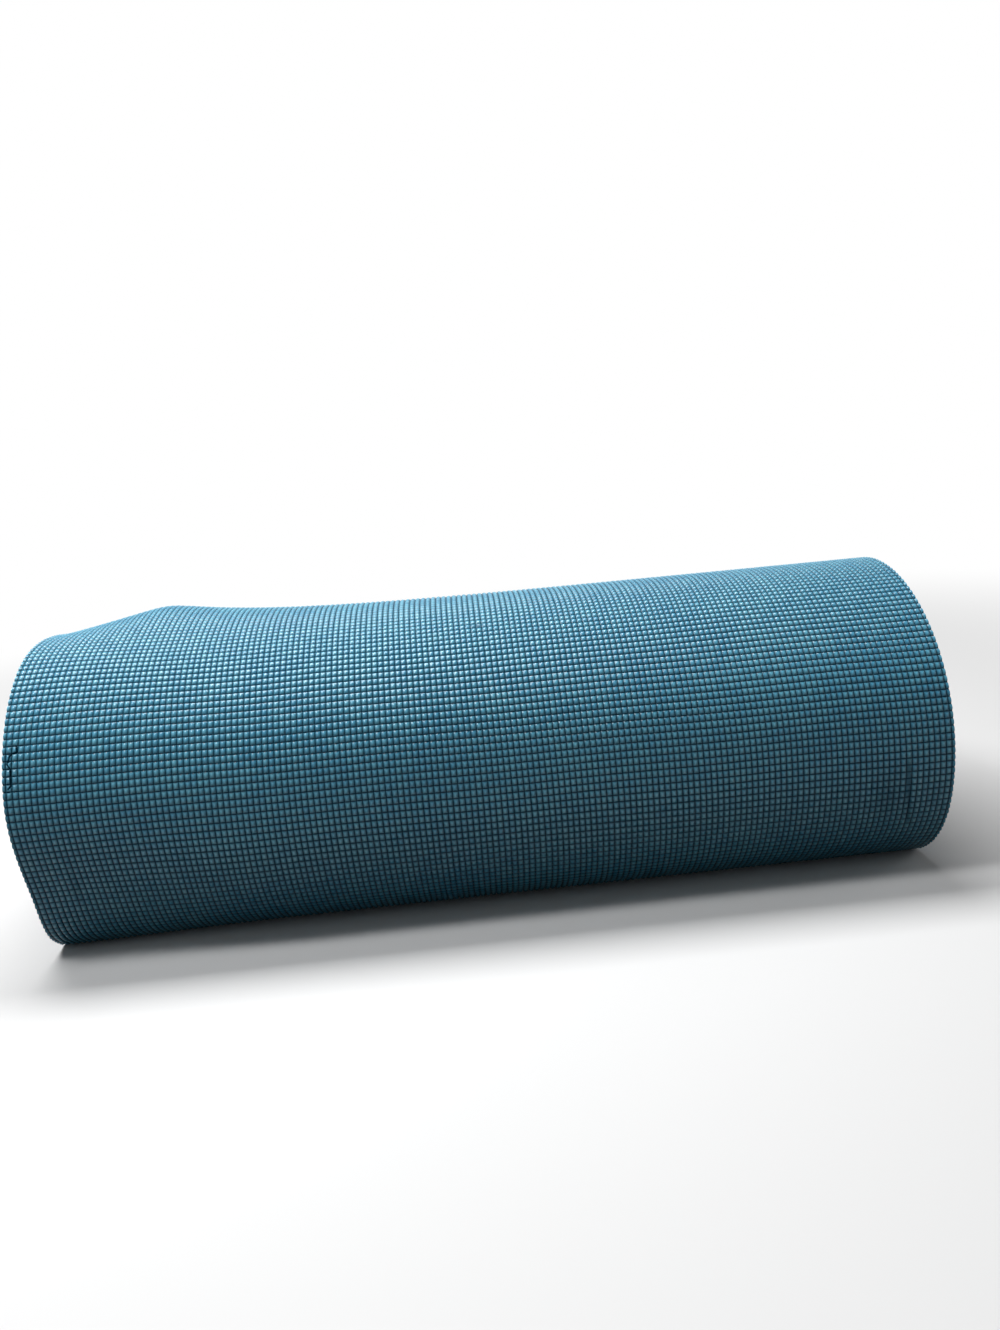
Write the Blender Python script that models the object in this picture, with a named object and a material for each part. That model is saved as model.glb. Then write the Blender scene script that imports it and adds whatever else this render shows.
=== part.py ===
import math

import bmesh
import bpy

# Rolled exercise mat: embossed foam on both faces of a woven scrim, wound up as a loose, sagging roll.
# X runs along the roll, Y away from the viewer, Z up. The origin is under the roll's middle, on the floor.
# Lengths in metres, angles in degrees. An angle is the turning of the sheet, counted from the floor:
# it grows up the front, over the top and down the back, and goes on inwards turn after turn.
# Below zero it runs the other way, from the floor up the back, along the free tail.

# The sheet
mat_width = 0.610
mat_length = 1.730
foam_thickness = 0.0020
scrim_thickness = 0.0004
layer_clearance = 0.0003
sheet_thickness = 2 * (foam_thickness + layer_clearance) + scrim_thickness

# The roll's outline: a flat foot, tight bottom corners, and wider bends up to the crown
turn_clearance = 0.0015
turn_pitch = sheet_thickness + turn_clearance
innermost_bend_radius = 0.002
flank_radius = 0.090
side_radius = 0.114
crown_radius = 0.131
corner_end_angle = 28.0
flank_end_angle = 75.0
side_end_angle = 130.0
crown_end_angle = 180.0
full_turn = 360.0
station_step = 5.0

# The free tail, which peels off the back of the roll and lies down on the floor
tail_start_angle = 25.0
tail_segment_angle = 17.5
tail_segment_count = 6
segment_clearance = 0.0004

# Finishes: base colour, roughness
foam_colour = (0.045, 0.190, 0.290, 1.0)
foam_roughness = 0.55
scrim_colour = (0.74, 0.75, 0.72, 1.0)
scrim_roughness = 0.85


def outline_bends(corner_radius):
    """Bends of the outline from the foot to the top: first angle, last angle, radius."""
    limits = (0.0, corner_end_angle, flank_end_angle, side_end_angle, crown_end_angle)
    radii = (corner_radius, flank_radius, side_radius, crown_radius)
    return [(limits[i], limits[i + 1], radii[i]) for i in range(len(radii))]


def bend_reach(turned, bends):
    """How far the bends up to this angle lead backwards and upwards from the foot's front end."""
    back = 0.0
    rise = 0.0
    for first, last, radius in bends:
        stop = min(turned, last)
        if stop > first:
            back -= radius * (math.sin(math.radians(stop)) - math.sin(math.radians(first)))
            rise += radius * (math.cos(math.radians(first)) - math.cos(math.radians(stop)))
    return back, rise


def outline_point(turned, bends):
    """Point of the roll's outline, which is alike on the front and the back."""
    half_foot = bend_reach(crown_end_angle, bends)[0]
    lap = turned % full_turn
    back, rise = bend_reach(min(lap, full_turn - lap), bends)
    y = back - half_foot
    return (-y, rise) if lap > crown_end_angle else (y, rise)


def face_point(station, depth):
    """Point at a depth under the sheet's outer face. The winding itself sinks one pitch a turn."""
    turned, y, z = station
    sunk = depth + turn_pitch * turned / full_turn
    return (y + sunk * math.sin(math.radians(turned)), z + sunk * math.cos(math.radians(turned)))


def hinge_angles():
    """Where the tail bends when it unrolls, from its root to its tip."""
    return [-(tail_start_angle + tail_segment_angle * i) for i in range(tail_segment_count + 1)]


def wind_sheet(corner_radius):
    """Stations along the wound sheet, from the tail's tip to the inner end, cut to the mat's length."""
    bends = outline_bends(corner_radius)
    bend_stops = hinge_angles()
    turned = min(bend_stops)
    stations = [(turned, *outline_point(turned, bends))]
    wound = 0.0
    while wound < mat_length:
        next_stop = station_step * (math.floor(turned / station_step) + 1)
        turned = min([next_stop] + [stop for stop in bend_stops if stop > turned])
        y, z = outline_point(turned, bends)
        ends = [(turned, -y, z), (turned, y, z)] if turned % full_turn == 0 else [(turned, y, z)]
        for station in ends:
            stations.append(station)
            wound += station_distance(stations[-2], station)
            if wound >= mat_length:
                break
    spare_share = (wound - mat_length) / station_distance(stations[-2], stations[-1])
    stations[-1] = blend_stations(stations[-1], stations[-2], spare_share)
    return stations


def station_distance(first, second):
    """Distance between two stations in the middle of the sheet."""
    return math.dist(face_point(first, sheet_thickness / 2), face_point(second, sheet_thickness / 2))


def blend_stations(first, second, share):
    return tuple(a + (b - a) * share for a, b in zip(first, second))


def settle_winding():
    """The bottom corners open out until the innermost turn can still go round them."""
    corner_radius = innermost_bend_radius + sheet_thickness
    for _ in range(4):
        inner_end = wind_sheet(corner_radius)[-1][0]
        corner_radius = innermost_bend_radius + sheet_thickness + turn_pitch * inner_end / full_turn
    return wind_sheet(corner_radius)


def centre_stations(stations):
    """Sets the roll with its middle over the origin."""
    reach = [face_point(station, 0.0)[0] for station in stations]
    middle = (min(reach) + max(reach)) / 2
    return [(turned, y - middle, z) for turned, y, z in stations]


def cut_end(station, direction):
    """Moves a station back from a hinge line, along the sheet, by half the clearance there."""
    turned, y, z = station
    step = direction * segment_clearance / 2
    return (turned, y - step * math.cos(math.radians(turned)), z + step * math.sin(math.radians(turned)))


def stations_of(stations, first_angle, last_angle):
    """The stations of one length of sheet. Its ends stand back from the hinge lines beside it."""
    own = [station for station in stations if first_angle <= station[0] <= last_angle]
    hinges = hinge_angles()[:-1]
    if own[0][0] in hinges:
        own[0] = cut_end(own[0], 1)
    if own[-1][0] in hinges:
        own[-1] = cut_end(own[-1], -1)
    return own


def least_turn_gap(stations):
    """The narrowest way between one turn's inner face and the next turn's outer face."""
    inner_face = [face_point(station, sheet_thickness) for station in stations]
    outer_face = [face_point(station, 0.0) for station in stations]
    gap = mat_length
    for i, station in enumerate(stations):
        for j, other in enumerate(stations):
            if other[0] - station[0] > full_turn / 2:
                gap = min(gap, math.dist(inner_face[i], outer_face[j]))
    return gap


def make_material(name, colour, roughness):
    material = bpy.data.materials.new(name)
    material.use_nodes = True
    shader = material.node_tree.nodes["Principled BSDF"]
    shader.inputs["Base Color"].default_value = colour
    shader.inputs["Roughness"].default_value = roughness
    shader.inputs["Metallic"].default_value = 0.0
    material.diffuse_color = colour
    return material


def make_layer(name, stations, depths, material, hinge=None):
    """One layer of the sheet: its cross-section in quads, extruded over the mat's width."""
    origin = hinge.matrix_world.translation.copy() if hinge else None
    bm = bmesh.new()
    rows = []
    for depth in depths:
        points = [face_point(station, depth) for station in stations]
        rows.append([bm.verts.new((-mat_width / 2, y, z)) for y, z in points])
    for i in range(len(stations) - 1):
        bm.faces.new((rows[0][i], rows[0][i + 1], rows[1][i + 1], rows[1][i]))
    grown = bmesh.ops.extrude_face_region(bm, geom=bm.faces[:])
    moved = [item for item in grown["geom"] if isinstance(item, bmesh.types.BMVert)]
    bmesh.ops.translate(bm, verts=moved, vec=(mat_width, 0.0, 0.0))
    bmesh.ops.recalc_face_normals(bm, faces=bm.faces[:])
    if origin:
        bmesh.ops.translate(bm, verts=bm.verts[:], vec=-origin)
    mesh = bpy.data.meshes.new(name)
    bm.to_mesh(mesh)
    bm.free()
    mesh.shade_smooth()
    mesh.set_sharp_from_angle(angle=math.radians(40.0))
    mesh.materials.append(material)
    layer = bpy.data.objects.new(name, mesh)
    bpy.context.scene.collection.objects.link(layer)
    layer.parent = hinge
    return layer


def make_hinge(name, station, parent):
    """Empty on a hinge line, which lies in the sheet's outer face, so that opening it lifts nothing."""
    hinge = bpy.data.objects.new(name, None)
    hinge.empty_display_size = turn_pitch
    bpy.context.scene.collection.objects.link(hinge)
    place = (0.0, *face_point(station, 0.0))
    if parent:
        hinge.parent = parent
        place = tuple(a - b for a, b in zip(place, parent.matrix_world.translation))
    hinge.location = place
    bpy.context.view_layer.update()
    return hinge


def make_length_of_sheet(suffix, stations, materials, hinge=None):
    """The sheet's three layers over one length: foam, scrim and foam, from outside to inside."""
    foam, scrim = materials
    scrim_depth = foam_thickness + layer_clearance
    inner_depth = scrim_depth + scrim_thickness + layer_clearance
    make_layer("bottom_foam_" + suffix, stations, (0.0, foam_thickness), foam, hinge)
    make_layer("scrim_" + suffix, stations, (scrim_depth, scrim_depth + scrim_thickness), scrim, hinge)
    make_layer("top_foam_" + suffix, stations, (inner_depth, sheet_thickness), foam, hinge)


def build_mat():
    for item in list(bpy.data.objects):
        bpy.data.objects.remove(item, do_unlink=True)
    foam = make_material("embossed_foam", foam_colour, foam_roughness)
    scrim = make_material("woven_scrim", scrim_colour, scrim_roughness)
    stations = centre_stations(settle_winding())
    angles = hinge_angles()
    make_length_of_sheet("roll", stations_of(stations, angles[0], stations[-1][0]), (foam, scrim))
    hinge = None
    for i in range(tail_segment_count):
        fold = next(station for station in stations if station[0] == angles[i])
        hinge = make_hinge(f"tail_hinge_{i + 1}", fold, hinge)
        own = stations_of(stations, angles[i + 1], angles[i])
        make_length_of_sheet(f"tail_{i + 1}", own, (foam, scrim), hinge)
    print("turns in the roll:", round((stations[-1][0] - angles[-1]) / full_turn, 2))
    print("least gap between turns, mm:", round(least_turn_gap(stations) * 1000, 2))


build_mat()
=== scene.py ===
import math

import bmesh
import bpy
import numpy as np
from mathutils import Matrix, Vector


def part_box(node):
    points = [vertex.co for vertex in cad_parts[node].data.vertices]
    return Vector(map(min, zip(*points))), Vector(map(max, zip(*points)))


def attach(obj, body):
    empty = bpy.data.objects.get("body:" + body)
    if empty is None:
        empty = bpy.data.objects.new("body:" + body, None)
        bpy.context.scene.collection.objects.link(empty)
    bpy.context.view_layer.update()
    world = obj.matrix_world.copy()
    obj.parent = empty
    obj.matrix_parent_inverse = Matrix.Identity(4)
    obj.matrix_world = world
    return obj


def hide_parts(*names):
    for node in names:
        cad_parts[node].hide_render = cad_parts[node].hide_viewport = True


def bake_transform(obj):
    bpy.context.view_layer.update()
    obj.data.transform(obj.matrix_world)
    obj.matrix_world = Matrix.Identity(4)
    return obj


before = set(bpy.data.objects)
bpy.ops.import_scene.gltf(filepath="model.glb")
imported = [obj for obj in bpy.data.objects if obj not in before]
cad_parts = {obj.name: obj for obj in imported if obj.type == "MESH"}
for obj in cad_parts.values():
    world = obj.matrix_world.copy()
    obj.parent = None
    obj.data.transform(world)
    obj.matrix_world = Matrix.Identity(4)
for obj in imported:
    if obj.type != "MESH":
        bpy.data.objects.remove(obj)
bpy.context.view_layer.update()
print("frame loaded:", len(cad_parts), "solids")

# A rolled exercise mat: embossed foam on both sides of a woven scrim. Metres and degrees.
# Turning is counted from the floor: up the front, over the top, down the back, then inwards lap by lap.
# Below zero it runs the other way, from the floor up the back, along the free tail.

viewpoint = dict(
    place=(-0.0126, -0.728, 0.3072),
    yaw=2.43,           # to the right of straight ahead
    down=12.14,         # below level
    roll=-5.17,
    focal=26.72,
    sensor=36.0,
    nearest=0.01,
)


def setCamera(settings):
    camera = bpy.data.objects.new("camera", bpy.data.cameras.new("camera"))
    bpy.context.scene.collection.objects.link(camera)
    camera.data.lens = settings["focal"]
    camera.data.sensor_width = settings["sensor"]
    turn = Matrix.Rotation(math.radians(-settings["yaw"]), 4, "Z")
    tip = Matrix.Rotation(math.radians(90.0 - settings["down"]), 4, "X")
    lean = Matrix.Rotation(math.radians(settings["roll"]), 4, "Z")
    camera.matrix_world = Matrix.Translation(settings["place"]) @ turn @ tip @ lean
    camera.data.clip_start = settings["nearest"]
    bpy.context.scene.camera = camera
    print("camera set")


setCamera(viewpoint)

mat = dict(
    width=0.610,
    length=1.730,
    thickness=0.005,
    lapPitch=0.0065,    # how far one lap lies inside the lap before it
    flankRadius=0.090,
    sideRadius=0.114,
    crownRadius=0.131,
    cornerEnd=28.0,     # where the tight corner beside the foot ends, and then each wider bend
    flankEnd=75.0,
    sideEnd=130.0,
    crownEnd=180.0,
    lap=360.0,
    tailTip=-130.0,
    innerEnd=754.0,
    spare=4.0,          # turning past both ends, so that a wavy cut edge still has somewhere to lie
    step=1.0,
)


def outlineBends(cornerRadius):
    ends = (0.0, mat["cornerEnd"], mat["flankEnd"], mat["sideEnd"], mat["crownEnd"])
    radii = (cornerRadius, mat["flankRadius"], mat["sideRadius"], mat["crownRadius"])
    return list(zip(ends, ends[1:], radii))


def climb(turned, bends):
    # How far back and up the bends lead, from the foot's front end to this much turning
    back = 0.0
    rise = 0.0
    for first, last, radius in bends:
        stop = np.radians(np.clip(turned, first, last))
        back = back - radius * (np.sin(stop) - math.sin(math.radians(first)))
        rise = rise + radius * (math.cos(math.radians(first)) - np.cos(stop))
    return back, rise


def windSheet():
    low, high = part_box("bottom_foam_roll")
    crownRise = high.z + mat["lapPitch"] / 2
    rest = climb(mat["crownEnd"], outlineBends(0.0))[1]
    cornerRadius = (crownRise - rest) / (1 - math.cos(math.radians(mat["cornerEnd"])))
    bends = outlineBends(cornerRadius)
    halfFoot = climb(mat["crownEnd"], bends)[0]
    first = mat["tailTip"] - mat["spare"]
    turned = np.arange(first, mat["innerEnd"] + mat["spare"], mat["step"])
    feet = np.arange(0.0, mat["innerEnd"], mat["lap"])
    turned = np.sort(np.append(turned, feet))   # the foot is flat, so it has two ends at one angle
    around = turned % mat["lap"]
    back, rise = climb(np.minimum(around, mat["lap"] - around), bends)
    y = back - halfFoot
    y = np.where(around > mat["crownEnd"], -y, y)
    for foot in feet:
        y[np.searchsorted(turned, foot)] *= -1
    front = np.interp(mat["lap"] / 4, turned, y) + mat["lapPitch"] / 4
    y = y + low.y - front
    middle = mat["thickness"] / 2 + mat["lapPitch"] * turned / mat["lap"]
    angle = np.radians(turned)
    steps = np.hypot(np.diff(y + middle * np.sin(angle)), np.diff(rise + middle * np.cos(angle)))
    along = np.append(0.0, np.cumsum(steps))
    along -= np.interp(mat["tailTip"], turned, along)
    print("wound: corner radius", round(cornerRadius, 6), "inner end at",
          round(float(np.interp(mat["length"], along, turned)), 2), "degrees")
    return dict(turned=turned, y=y, z=rise, along=along)


wound = windSheet()

squeezed = dict(        # the left end, pressed out of round where it was carried
    humpRise=0.0165,    # a ridge at the back of the crown, steep towards the end, fading slowly inwards
    humpAt=-0.2268,
    humpFall=0.0722,
    humpFade=0.0761,
    humpRound=0.010,
    humpTurn=205.0,
    humpTurnBelow=48.6,
    humpTurnAbove=24.0,
    endReach=0.1645,
    kneel=0.0056,       # how far the corner beside the foot is pushed out to the front
    kneelAt=10.0,
    kneelFade=45.0,
    footWidth=0.137,
    waves=(             # out of round at the end itself: turning, reach below and above, and how far out
        (69.6, 34.0, 42.0, -0.0095),
        (112.0, 36.0, 36.0, 0.0011),
        (149.3, 44.0, 36.0, 0.0055),
    ),
)

# Each mark is pressed into the outer face and is also painted darker there, as shade.
marks = dict(
    dents=(             # place across, turning, reach across and along, and depth
        (0.0035, 153.6, 0.0080, 0.0026, 0.0007),
        (-0.2740, 73.0, 0.0045, 0.0300, 0.0002),
        (0.2620, 78.0, 0.0160, 0.0300, 0.0002),     # worn flat beside the crease, and painted darker as shade like the other marks
    ),
    crease=(            # near the right end: place across and turning
        (0.2740, 89.0),
        (0.2755, 75.0),
        (0.2775, 62.0),
    ),
    creaseWidth=0.0024,
    creaseDepth=0.0005,
    tear=(              # a short tear in the skin near the left edge, given the same way
        (-0.2965, 124.5),
        (-0.2960, 122.5),
        (-0.2985, 122.2),
        (-0.3005, 121.5),
        (-0.3010, 120.0),
        (-0.3020, 118.8),
        (-0.3000, 117.2),
        (-0.3000, 111.8),
        (-0.3015, 110.8),
    ),
    tearWidth=0.0006,
    tearDepth=0.0018,
    tearCuts=5,         # how finely the pads beside the tear are divided
    tearReach=0.0040,
)


def swell(value, middle, reachBelow, reachAbove):
    # One smooth wave: 1 in the middle, 0 past its reach on either side
    share = np.where(value < middle, (middle - value) / reachBelow, (value - middle) / reachAbove)
    return 0.5 + 0.5 * np.cos(math.pi * np.clip(share, 0.0, 1.0))


def ridge(x):
    s = squeezed
    outside = 1.0 - np.hypot(np.maximum(s["humpAt"] - x, 0.0), s["humpRound"]) / s["humpFall"]
    inside = np.exp((s["humpRound"] - np.hypot(x - s["humpAt"], s["humpRound"])) / s["humpFade"])
    peak = 1.0 - s["humpRound"] / s["humpFall"]
    return np.where(x < s["humpAt"], np.clip(outside / peak, 0.0, 1.0), inside)


def squeeze(x, y, turned):
    around = np.where(turned < 0.0, 0.0, turned % mat["lap"])
    s = squeezed
    end = swell(x, -mat["width"] / 2, s["endReach"], s["endReach"])
    out = 0.0
    for turn, below, above, reach in s["waves"]:
        out = out + reach * end * swell(around, turn, below, above)
    hump = ridge(x) * swell(around, s["humpTurn"], s["humpTurnBelow"], s["humpTurnAbove"])
    kneel = s["kneel"] * end * swell(np.maximum(around, s["kneelAt"]), s["kneelAt"], 1.0, s["kneelFade"])
    kneel = kneel * np.clip(0.5 - y / s["footWidth"], 0.0, 1.0) * (turned >= 0.0)
    angle = np.radians(turned)
    lift = np.minimum(1.0 - np.cos(angle), 1.0)     # low down it only gives sideways, on the floor
    return -out * np.sin(angle) - kneel, s["humpRise"] * hump - out * lift * np.cos(angle)


def wrap(x, along, height):
    # From the sheet laid flat to the roll. Height is over the sheet's middle, towards the outside.
    turned = np.interp(along, wound["along"], wound["turned"])
    y = np.interp(along, wound["along"], wound["y"])
    z = np.interp(along, wound["along"], wound["z"])
    sunk = mat["thickness"] / 2 - height + mat["lapPitch"] * turned / mat["lap"]
    dy, dz = squeeze(x, y, turned)
    angle = np.radians(turned)
    return x, y + sunk * np.sin(angle) + dy, z + sunk * np.cos(angle) + dz


def alongAt(turned):
    return float(np.interp(turned, wound["turned"], wound["along"]))


def fromLine(x, along, line):
    # How far from a line on the sheet laid flat
    nearest = np.full(np.shape(x), np.inf)
    points = [(place, alongAt(turned)) for place, turned in line]
    for (startX, startY), (endX, endY) in zip(points, points[1:]):
        dx, dy = endX - startX, endY - startY
        share = np.clip(((x - startX) * dx + (along - startY) * dy) / (dx * dx + dy * dy), 0.0, 1.0)
        nearest = np.minimum(nearest, np.hypot(x - startX - share * dx, along - startY - share * dy))
    return nearest


def dentAt(x, along):
    # How deep the marks press the outer face in
    depth = 0.0
    for kind in ("tear", "crease"):
        away = fromLine(x, along, marks[kind])
        depth = depth + marks[kind + "Depth"] * swell(away, 0.0, 1.0, marks[kind + "Width"])
    for place, turned, across, reach, deep in marks["dents"]:
        dent = deep * swell(x, place, across, across)
        depth = depth + dent * swell(along, alongAt(turned), reach, reach)
    return depth


class Wire:
    # An output of a node, so that sums on it can be written as sums
    def __init__(self, nodes, output):
        self.nodes = nodes
        self.output = output

    def sum(self, operation, first, second):
        return self.nodes.node("ShaderNodeMath", dict(operation=operation), {0: first, 1: second})

    def __add__(self, other):
        return self.sum("ADD", self, other)

    def __radd__(self, other):
        return self.sum("ADD", other, self)

    def __sub__(self, other):
        return self.sum("SUBTRACT", self, other)

    def __rsub__(self, other):
        return self.sum("SUBTRACT", other, self)

    def __mul__(self, other):
        return self.sum("MULTIPLY", self, other)

    def __rmul__(self, other):
        return self.sum("MULTIPLY", other, self)

    def __pow__(self, other):
        return self.sum("POWER", self, other)


class Nodes:
    # A tree of nodes and the one method that adds to it
    def __init__(self, tree):
        self.tree = tree

    def node(self, kind, settings=None, inputs=None, output=0):
        made = self.tree.nodes.new(kind)
        for key, value in (settings or {}).items():
            setattr(made, key, value)
        for key, value in (inputs or {}).items():
            self.plug(made.inputs[key], value)
        return Wire(self, made.outputs[output])

    def plug(self, socket, value):
        if isinstance(value, Wire):
            self.tree.links.new(value.output, socket)
        else:
            socket.default_value = value

    def mix(self, factor, first, second):
        settings = dict(data_type="RGBA")
        return self.node("ShaderNodeMix", settings, {0: factor, 6: first, 7: second}, output=2)


class Paint(Nodes):
    # A new material
    def __init__(self, name):
        self.material = bpy.data.materials.new(name)
        self.material.use_nodes = True
        super().__init__(self.material.node_tree)
        self.shader = self.tree.nodes["Principled BSDF"]

    def finish(self, **inputs):
        for key, value in inputs.items():
            self.plug(self.shader.inputs[key.replace("_", " ")], value)
        return self.material


foamFinish = dict(
    padColour=(0.022, 0.268, 0.450, 1.0),
    paleColour=(0.092, 0.405, 0.560, 1.0),
    # painted shade: the grooves and the low flanks of the pads are darkened in colour where the emboss
    # shades them
    grooveShadeColour=(0.004, 0.036, 0.064, 1.0),
    grooveShadeSpread=1.4,   # how far up the sides of a pad the painted shade of the groove reaches
    roughness=0.45,
    specular=0.06,
    gloss=1.0,          # of the pads' smooth skin, which the grooves lack
    glossSpread=1.5,
    glossRoughness=0.25,
    skin=1.6,           # the skin's index of refraction
    patchScale=9.0,
    patchDetail=3.0,
    patchShare=1.3,     # how much each kind of unevenness turns the pads to the pale colour
    mottleScale=70.0,
    mottleDetail=4.0,
    mottleShare=0.6,
    mottleRough=0.12,   # and how much it roughens them
    toneShare=0.7,
    paleStart=0.45,
    grainScale=1600.0,
    grainDetail=2.0,
    grainDepth=0.00004,
    grainStrength=0.6,
)


def paintFoam(settings):
    paint = Paint("embossedFoam")
    place = paint.node("ShaderNodeTexCoord", output="Object")
    relief = paint.node("ShaderNodeAttribute", dict(attribute_name="relief"), output="Fac")
    tone = paint.node("ShaderNodeAttribute", dict(attribute_name="tone"), output="Fac")

    def noise(kind):
        scale, detail = settings[kind + "Scale"], settings[kind + "Detail"]
        return paint.node("ShaderNodeTexNoise", None, {"Vector": place, "Scale": scale, "Detail": detail})

    patches = noise("patch")
    mottle = noise("mottle")
    grain = noise("grain")
    pale = settings["patchShare"] * patches + settings["mottleShare"] * mottle - settings["paleStart"]
    pale = pale + settings["toneShare"] * (tone - 0.5)
    body = paint.mix(pale, settings["padColour"], settings["paleColour"])
    # Painted shade: the colour turns dark low down towards the grooves
    colour = paint.mix(relief ** settings["grooveShadeSpread"], settings["grooveShadeColour"], body)
    rough = settings["roughness"] + settings["mottleRough"] * (mottle - 0.5)
    gloss = settings["gloss"] * relief ** settings["glossSpread"]
    bump = paint.node("ShaderNodeBump", None,
                      {"Height": grain, "Distance": settings["grainDepth"],
                       "Strength": settings["grainStrength"]}, output="Normal")
    return paint.finish(Base_Color=colour, Roughness=rough, Normal=bump,
                        Specular_IOR_Level=settings["specular"],
                        Coat_Weight=gloss, Coat_Roughness=settings["glossRoughness"],
                        Coat_IOR=settings["skin"])


cutFinish = dict(
    colour=(0.055, 0.200, 0.290, 1.0),
    poreColour=(0.020, 0.100, 0.160, 1.0),
    roughness=0.75,
    poreScale=2600.0,
    poreDepth=0.0001,
    poreStrength=0.7,
)


def paintCut(settings):
    paint = Paint("cutFoam")
    place = paint.node("ShaderNodeTexCoord", output="Object")
    pores = paint.node("ShaderNodeTexVoronoi", None,
                       {"Vector": place, "Scale": settings["poreScale"]}, output="Distance")
    colour = paint.mix(pores, settings["poreColour"], settings["colour"])
    bump = paint.node("ShaderNodeBump", None,
                      {"Height": pores, "Distance": settings["poreDepth"],
                       "Strength": settings["poreStrength"]}, output="Normal")
    return paint.finish(Base_Color=colour, Roughness=settings["roughness"], Normal=bump)


scrimFinish = dict(
    yarnColour=(0.70, 0.71, 0.68, 1.0),
    gapColour=(0.040, 0.160, 0.240, 1.0),
    roughness=0.80,
)


def paintScrim(settings):
    paint = Paint("wovenScrim")
    sheetPlace = paint.node("ShaderNodeUVMap", dict(uv_map="sheet"))
    along = paint.node("ShaderNodeSeparateXYZ", None, {"Vector": sheetPlace}, output="Y")
    period = rowPitch / 2                   # two yarns to a row of pads
    wave = paint.node("ShaderNodeMath", dict(operation="PINGPONG"), {0: along, 1: period / 2})
    yarn = paint.node("ShaderNodeMath", dict(operation="GREATER_THAN"), {0: wave, 1: period / 4})
    colour = paint.mix(yarn, settings["gapColour"], settings["yarnColour"])
    return paint.finish(Base_Color=colour, Roughness=settings["roughness"])


pads = dict(            # the embossing, counted over the whole mat
    columns=160,
    rows=370,
    height=0.0011,
    rings=((0.00055, 0.00060), (0.00110, 0.00050)),     # inset and rise, from the groove to the top
    edgeColumns=6,      # how many stay at each end of a lap that is hidden inside the roll
    wideColumn=5,       # and how many are joined in one between them
    unevenHeight=0.00010,
    tilt=0.110,
    drift=0.00030,      # how far the rows and columns wander from straight
    driftFade=4.0,      # how soon it starts from the sides, where the knife cut straight
    driftAcross=(31.0, 3.0, 17.0),      # waves in a metre, and the size and waves of their own sway
    driftAlong=(43.0, 2.0, 23.0),
    seed=11,
)
layers = dict(
    scrim=0.0004,
    bondGap=0.00002,    # the foam is bonded to the scrim, so this is as good as none
    scrimColumns=32,
    scrimRowsPerPad=4,
    sharp=75.0,
    cutAccuracy=1e-7,
    cutSlope=0.3,       # faces steeper than this are cut edges of the sheet
    fill=0.9,           # how much of each foam layer's room is foam
)

columnPitch = mat["width"] / pads["columns"]
rowPitch = mat["length"] / pads["rows"]

foam = paintFoam(foamFinish)
cutFoam = paintCut(cutFinish)
scrimPaint = paintScrim(scrimFinish)
print("materials made")

padNoise = np.random.default_rng(pads["seed"]).random((4, pads["rows"] + 1, pads["columns"] + 1))


def rowAt(turned):
    # The groove nearest to this much turning. The knife goes through the pads at the mat's edges.
    return round(alongAt(turned) / rowPitch + 0.5)


def flatSheet(firstRow, lastRow, edges, bottom, top, rowsPerPad=1):
    # A sheet laid flat, with a closed body and its upper faces in a list
    bm = bmesh.new()
    count = (lastRow - firstRow) * rowsPerPad
    bmesh.ops.create_grid(bm, x_segments=len(edges) - 1, y_segments=count, size=0.5)
    for vert in bm.verts:
        vert.co.x = edges[round((vert.co.x + 0.5) * (len(edges) - 1))]
    length = (lastRow - firstRow) * rowPitch
    bmesh.ops.scale(bm, vec=(1.0, length, 1.0), verts=bm.verts)
    middle = (firstRow - 0.5) * rowPitch + length / 2
    bmesh.ops.translate(bm, vec=(0.0, middle, bottom), verts=bm.verts)
    grown = bmesh.ops.extrude_face_region(bm, geom=bm.faces[:])["geom"]
    lifted = [item for item in grown if isinstance(item, bmesh.types.BMVert)]
    upper = [item for item in grown if isinstance(item, bmesh.types.BMFace)]
    bmesh.ops.translate(bm, vec=(0.0, 0.0, top - bottom), verts=lifted)
    bmesh.ops.recalc_face_normals(bm, faces=bm.faces[:])
    for face in bm.faces:
        face.smooth = True
    return bm, upper


def trim(bm, place, outward):
    # Cuts the sheet as a knife would, and closes the cut
    everything = bm.verts[:] + bm.edges[:] + bm.faces[:]
    cut = bmesh.ops.bisect_plane(bm, geom=everything, dist=layers["cutAccuracy"], plane_co=place,
                                 plane_no=outward, clear_outer=True)
    rim = [item for item in cut["geom_cut"] if isinstance(item, bmesh.types.BMEdge)]
    if rim:
        bmesh.ops.edgeloop_fill(bm, edges=rim)


def trimSheet(bm):
    half = mat["width"] / 2
    trim(bm, (half, 0.0, 0.0), (1.0, 0.0, 0.0))
    trim(bm, (-half, 0.0, 0.0), (-1.0, 0.0, 0.0))
    trim(bm, (0.0, 0.0, 0.0), (0.0, -1.0, 0.0))
    trim(bm, (0.0, mat["length"], 0.0), (0.0, 1.0, 0.0))


def divideAtTear(bm):
    # Makes the pads fine enough there to show the tear
    spots = np.array([vert.co[:2] for vert in bm.verts])
    near = fromLine(spots[:, 0], spots[:, 1], marks["tear"]) < marks["tearReach"]
    upper = [vert.co.z > layers["scrim"] for vert in bm.verts]
    edges = [edge for edge in bm.edges
             if all(near[vert.index] and upper[vert.index] for vert in edge.verts)]
    if edges:
        bmesh.ops.subdivide_edges(bm, edges=edges, cuts=marks["tearCuts"], use_grid_fill=True)
        bordering = [face for face in bm.faces if len(face.verts) > 4]      # divided on one side only
        bmesh.ops.poke(bm, faces=bordering)


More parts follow.
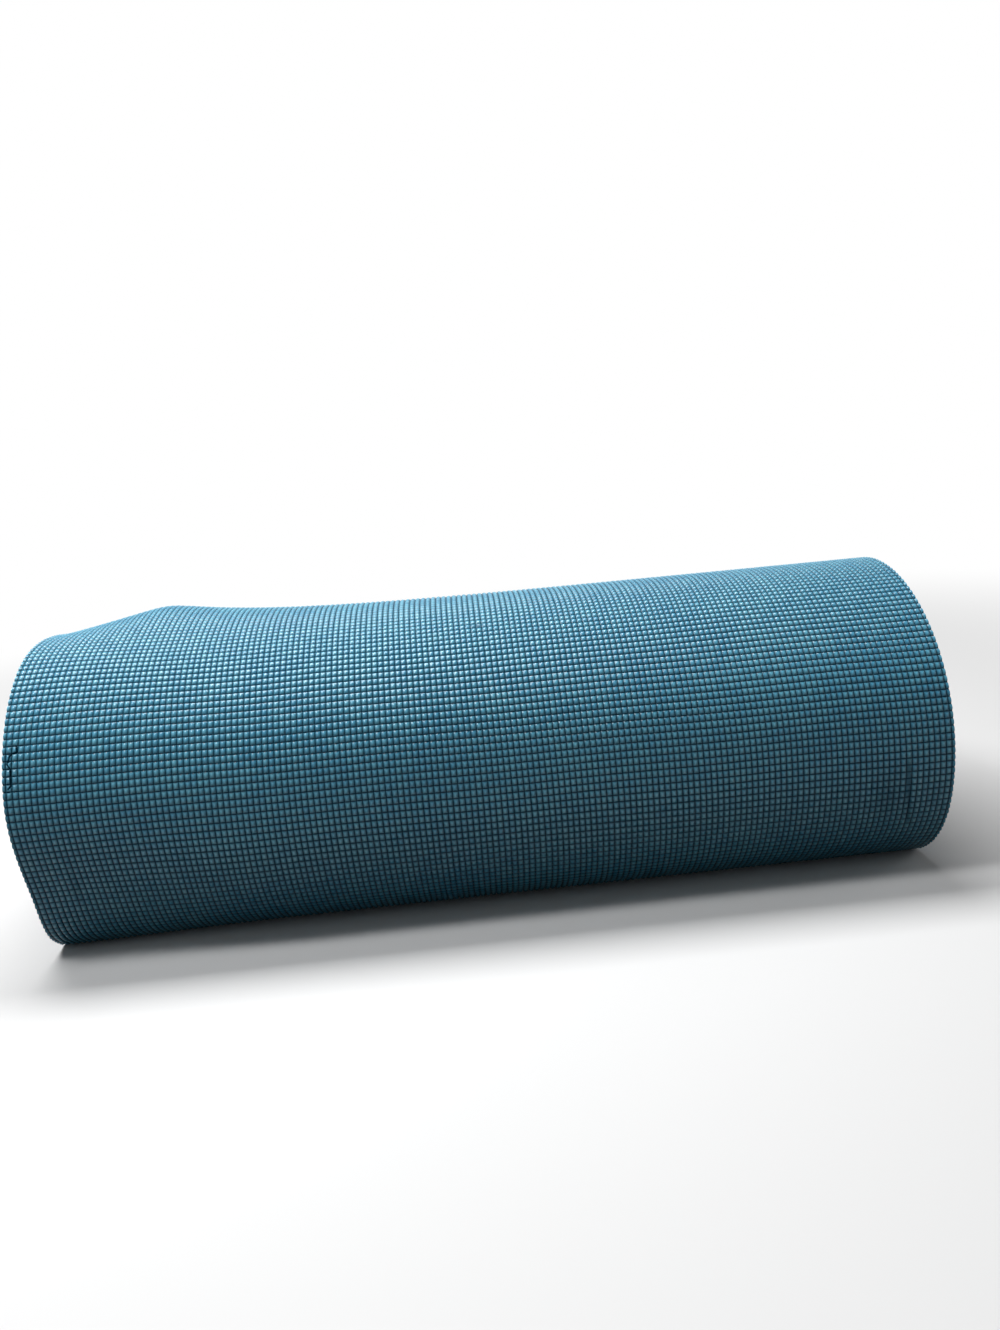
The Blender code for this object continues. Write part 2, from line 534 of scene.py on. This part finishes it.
def columnEdges(dense):
    start = -(mat["width"] + columnPitch) / 2
    count = pads["columns"] + 1
    kept = range(count + 1)
    if not dense:
        last = count - pads["edgeColumns"]
        kept = [*range(pads["edgeColumns"]), *range(pads["edgeColumns"], last, pads["wideColumn"]),
                *range(last, count + 1)]
    return [start + columnPitch * i for i in kept]


def wander(value, other, waves):
    often, sway, swayOften = waves
    return np.sin(value * often + sway * np.sin(other * swayOften))


def rollUp(mesh, side):
    # Gives the flat mesh its marks and unevenness, then winds it on the roll
    flat = np.empty(len(mesh.vertices) * 3)
    mesh.vertices.foreach_get("co", flat)
    x, along, height = flat.reshape(-1, 3).T
    corners = np.empty(len(mesh.loops), dtype=int)
    mesh.loops.foreach_get("vertex_index", corners)
    sheetMap = mesh.uv_layers.new(name="sheet")
    sheetMap.data.foreach_set("uv", np.column_stack((x, along))[corners].ravel())
    top = mat["thickness"] / 2
    relief = np.clip((side * height - top + pads["height"]) / pads["height"], 0.0, 1.0)
    column = np.clip((x / columnPitch + (pads["columns"] + 1) / 2).astype(int), 0, pads["columns"])
    row = np.clip((along / rowPitch + 0.5).astype(int), 0, pads["rows"])
    noise = padNoise[:, row, column] - 0.5
    dent = np.minimum(dentAt(x, along) * (side > 0), np.maximum(height - layers["scrim"], 0.0))
    # The marks lower the relief that the colour reads, so they get the painted shade of the grooves as
    # well as their dent.
    shown = relief * np.clip(1.0 - dent / pads["height"], 0.0, 1.0)
    for name, values in (("relief", shown), ("tone", noise[3] + 0.5)):
        layer = mesh.attributes.new(name, "FLOAT", "POINT")
        layer.data.foreach_set("value", values.astype(np.float32))
    fromPadX = x - (column - pads["columns"] / 2) * columnPitch
    fromPadY = along - row * rowPitch
    uneven = pads["unevenHeight"] * noise[0]
    uneven = uneven + pads["tilt"] * (noise[1] * fromPadX + noise[2] * fromPadY)
    height = height + side * relief * uneven - dent
    inside = 1.0 - np.abs(x) / (mat["width"] / 2)
    drift = pads["drift"] * np.clip(pads["driftFade"] * inside, 0.0, 1.0)
    x = x + drift * wander(along, x, pads["driftAcross"])
    along = along + pads["drift"] * wander(x, along, pads["driftAlong"])
    wrapped = np.column_stack(wrap(x, along, height))
    mesh.vertices.foreach_set("co", wrapped.ravel())
    mesh.update()


def sharpenEdges(bm):
    bm.normal_update()
    limit = math.radians(layers["sharp"])
    for edge in bm.edges:
        atCut = any(abs(face.normal.z) < layers["cutSlope"] for face in edge.link_faces)
        edge.smooth = not atCut and edge.calc_face_angle(0.0) < limit


def finishPiece(name, bm, paints, side):
    sharpenEdges(bm)
    mesh = bpy.data.meshes.new(name)
    bm.to_mesh(mesh)
    bm.free()
    for paint in paints:
        mesh.materials.append(paint)
    normals = np.empty(len(mesh.polygons) * 3)
    mesh.polygons.foreach_get("normal", normals)
    isCut = np.abs(normals.reshape(-1, 3)[:, 2]) < layers["cutSlope"]
    mesh.polygons.foreach_set("material_index", isCut.astype(int) * (len(paints) - 1))
    rollUp(mesh, side)
    piece = bpy.data.objects.new(name, mesh)
    bpy.context.scene.collection.objects.link(piece)
    return piece


def foamPiece(name, firstRow, lastRow, side, dense=True):
    # Side is 1 for the foam under the scrim, which faces out, and -1 for the foam one stands on
    bottom = layers["scrim"] / 2 + layers["bondGap"]
    top = mat["thickness"] / 2 - pads["height"]
    bm, upper = flatSheet(firstRow, lastRow, columnEdges(dense), bottom, top)
    for inset, rise in pads["rings"]:
        bmesh.ops.inset_individual(bm, faces=upper, thickness=inset, depth=rise,
                                   use_even_offset=True)
    bm.verts.index_update()
    if side > 0 and dense:
        divideAtTear(bm)
    trimSheet(bm)
    if side < 0:
        bmesh.ops.scale(bm, vec=(1.0, 1.0, -1.0), verts=bm.verts)
        bmesh.ops.reverse_faces(bm, faces=bm.faces)
    piece = finishPiece(name, bm, (foam, cutFoam), side)
    return piece


def scrimPiece(name, firstRow, lastRow):
    half = layers["scrim"] / 2
    edges = np.linspace(-mat["width"] / 2, mat["width"] / 2, layers["scrimColumns"] + 1)
    bm = flatSheet(firstRow, lastRow, edges, -half, half, layers["scrimRowsPerPad"])[0]
    trimSheet(bm)
    piece = finishPiece(name, bm, (scrimPaint,), 1)
    first = max((firstRow - 0.5) * rowPitch, 0.0)
    last = min((lastRow - 0.5) * rowPitch, mat["length"])
    last - first
    return piece


def rideOnRoll(piece, node):
    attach(piece, "roll")
    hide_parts(node)
    print(piece.name, len(piece.data.polygons), "faces")


divided = dict(         # the turning at which one piece of a layer ends and the next begins
    lapStart=-0.01,     # the back end of the foot, whose front end turns no further
    footFront=1.0,
    frontTop=128.0,
    crownBack=248.0,
    secondLap=360.0,
    coreStart=390.0,
    coreMiddle=540.0,
    coreBack=650.0,
)
rows = {name: rowAt(turned) for name, turned in divided.items()}
rows["footFront"] -= 2      # whole rows that still lie flat
rows["end"] = pads["rows"] + 1

rollPieces = (          # name, where it begins and ends, side, and whether all its pads are in sight
    ("bottomFoamFoot", "lapStart", "footFront", 1, True),
    ("bottomFoamFront", "footFront", "frontTop", 1, True),
    ("bottomFoamCrown", "frontTop", "crownBack", 1, True),
    ("bottomFoamBack", "crownBack", "secondLap", 1, True),
    ("bottomFoamInner", "secondLap", "end", 1, False),
    ("topFoamOuter", "lapStart", "coreStart", -1, False),
    ("topFoamCoreFront", "coreStart", "coreMiddle", -1, True),
    ("topFoamCoreBack", "coreMiddle", "coreBack", -1, True),
    ("topFoamCoreFoot", "coreBack", "end", -1, True),
)
for name, first, last, side, dense in rollPieces:
    node = "bottom_foam_roll" if side > 0 else "top_foam_roll"
    rideOnRoll(foamPiece(name, rows[first], rows[last], side, dense), node)
rideOnRoll(scrimPiece("scrimRoll", rows["lapStart"], rows["end"]), "scrim_roll")

tail = dict(start=-25.0, bend=17.5, count=6)    # turning at the first point and from one point to the next


def tailCuts():
    # From the foot's back end to the tip, with a cut halfway between every two of these points
    middles = [tail["start"] - tail["bend"] * (i + 0.5) for i in range(tail["count"] - 1)]
    return [rows["lapStart"], *[rowAt(turned) for turned in middles], 0]


def bendTail(piece, node, rootRow, endAlong):
    for along in ((rootRow - 0.5) * rowPitch, endAlong):
        tuple(float(value) for value in wrap(0.0, along, 0.0))
    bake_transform(piece)
    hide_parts(node)
    print(piece.name, len(piece.data.polygons), "faces")


def makeTail():
    cuts = tailCuts()
    lastMiddle = alongAt(tail["start"] - tail["bend"] * (tail["count"] - 0.5))
    for number in range(1, tail["count"] + 1):
        root, tip = cuts[number - 1], cuts[number]
        endAlong = lastMiddle if number == tail["count"] else (tip - 0.5) * rowPitch
        made = (
            (foamPiece(f"bottomFoamTail{number}", tip, root, 1), f"bottom_foam_tail_{number}"),
            (foamPiece(f"topFoamTail{number}", tip, root, -1), f"top_foam_tail_{number}"),
            (scrimPiece(f"scrimTail{number}", tip, root), f"scrim_tail_{number}"),
        )
        for piece, node in made:
            bendTail(piece, node, root, endAlong)


makeTail()
print("mat made")

floor = dict(
    radius=5.0,
    segments=96,
    drop=0.0003,        # how far under the pads it lies
    colour=(0.72, 0.72, 0.72, 1.0),
    roughness=0.9,
    specular=0.1,
    bounceColour=(0.12, 0.12, 0.12, 1.0),
    fadeStart=0.3,      # from here outwards it turns to the white of the background
    fadeEnd=1.6,
)


def makeFloor(settings):
    bm = bmesh.new()
    bmesh.ops.create_circle(bm, cap_ends=True, segments=settings["segments"], radius=settings["radius"])
    bmesh.ops.translate(bm, vec=(0.0, 0.0, -settings["drop"]), verts=bm.verts)
    mesh = bpy.data.meshes.new("floor")
    bm.to_mesh(mesh)
    bm.free()
    paint = Paint("paleFloor")
    place = paint.node("ShaderNodeTexCoord", output="Object")
    distance = paint.node("ShaderNodeVectorMath", dict(operation="LENGTH"), {0: place}, output="Value")
    fade = paint.node("ShaderNodeMapRange", dict(interpolation_type="SMOOTHSTEP"),
                      {"Value": distance, "From Min": settings["fadeStart"],
                       "From Max": settings["fadeEnd"]})
    white = paint.node("ShaderNodeEmission", None, {"Color": (1.0, 1.0, 1.0, 1.0), "Strength": 1.0})
    bounce = paint.node("ShaderNodeLightPath", output="Is Diffuse Ray")
    dim = paint.node("ShaderNodeBsdfDiffuse", None, {"Color": settings["bounceColour"]})
    paint.finish(Base_Color=settings["colour"], Roughness=settings["roughness"],
                 Specular_IOR_Level=settings["specular"])
    lit = Wire(paint, paint.shader.outputs[0])
    far = paint.node("ShaderNodeMixShader", None, {0: fade, 1: lit, 2: white})
    shown = paint.node("ShaderNodeMixShader", None, {0: bounce, 1: far, 2: dim})
    paint.tree.links.new(shown.output, paint.tree.nodes["Material Output"].inputs["Surface"])
    mesh.materials.append(paint.material)
    made = bpy.data.objects.new("floor", mesh)
    bpy.context.scene.collection.objects.link(made)
    print("floor made")


makeFloor(floor)

lights = dict(
    ambient=0.08,
    key=dict(place=(-0.25, 0.28, 1.30), aim=(-0.25, 0.0, 0.1), size=(1.20, 0.45), power=22.5),
    spot=dict(place=(-0.60, -0.35, 1.35), aim=(0.0, 0.0, 0.1), size=(0.30, 0.30), power=9.0),
    fill=dict(place=(-0.80, -0.75, 0.90), aim=(-0.1, 0.0, 0.1), size=(0.60, 0.60), power=0.85),
    side=dict(place=(1.60, 0.20, 0.35), aim=(0.0, 0.0, 0.1), size=(1.00, 1.00), power=5.0),
)


def addLight(name, settings):
    data = bpy.data.lights.new(name, "AREA")
    data.shape = "RECTANGLE"
    data.size, data.size_y = settings["size"]
    data.energy = settings["power"]
    lamp = bpy.data.objects.new(name, data)
    bpy.context.scene.collection.objects.link(lamp)
    lamp.location = settings["place"]
    ahead = Vector(settings["aim"]) - Vector(settings["place"])
    lamp.rotation_euler = ahead.to_track_quat("-Z", "Y").to_euler()


def lightWorld(ambient):
    # White where it is seen or mirrored, and a faint light on everything else
    world = bpy.data.worlds.new("studio")
    bpy.context.scene.world = world
    world.use_nodes = True
    nodes = Nodes(world.node_tree)
    seen = nodes.node("ShaderNodeLightPath", output="Is Camera Ray")
    for ray in ("Is Glossy Ray", "Is Transmission Ray"):
        other = nodes.node("ShaderNodeLightPath", output=ray)
        seen = nodes.node("ShaderNodeMath", dict(operation="MAXIMUM"), {0: seen, 1: other})
    strength = nodes.node("ShaderNodeMapRange", None, {"Value": seen, "To Min": ambient})
    background = nodes.tree.nodes["Background"]
    nodes.plug(background.inputs["Color"], (1.0, 1.0, 1.0, 1.0))
    nodes.plug(background.inputs["Strength"], strength)


for name in ("key", "spot", "fill", "side"):
    addLight(name + "Light", lights[name])
lightWorld(lights["ambient"])
bpy.context.scene.view_settings.view_transform = "Standard"
print("lights set")

bpy.context.view_layer.update()
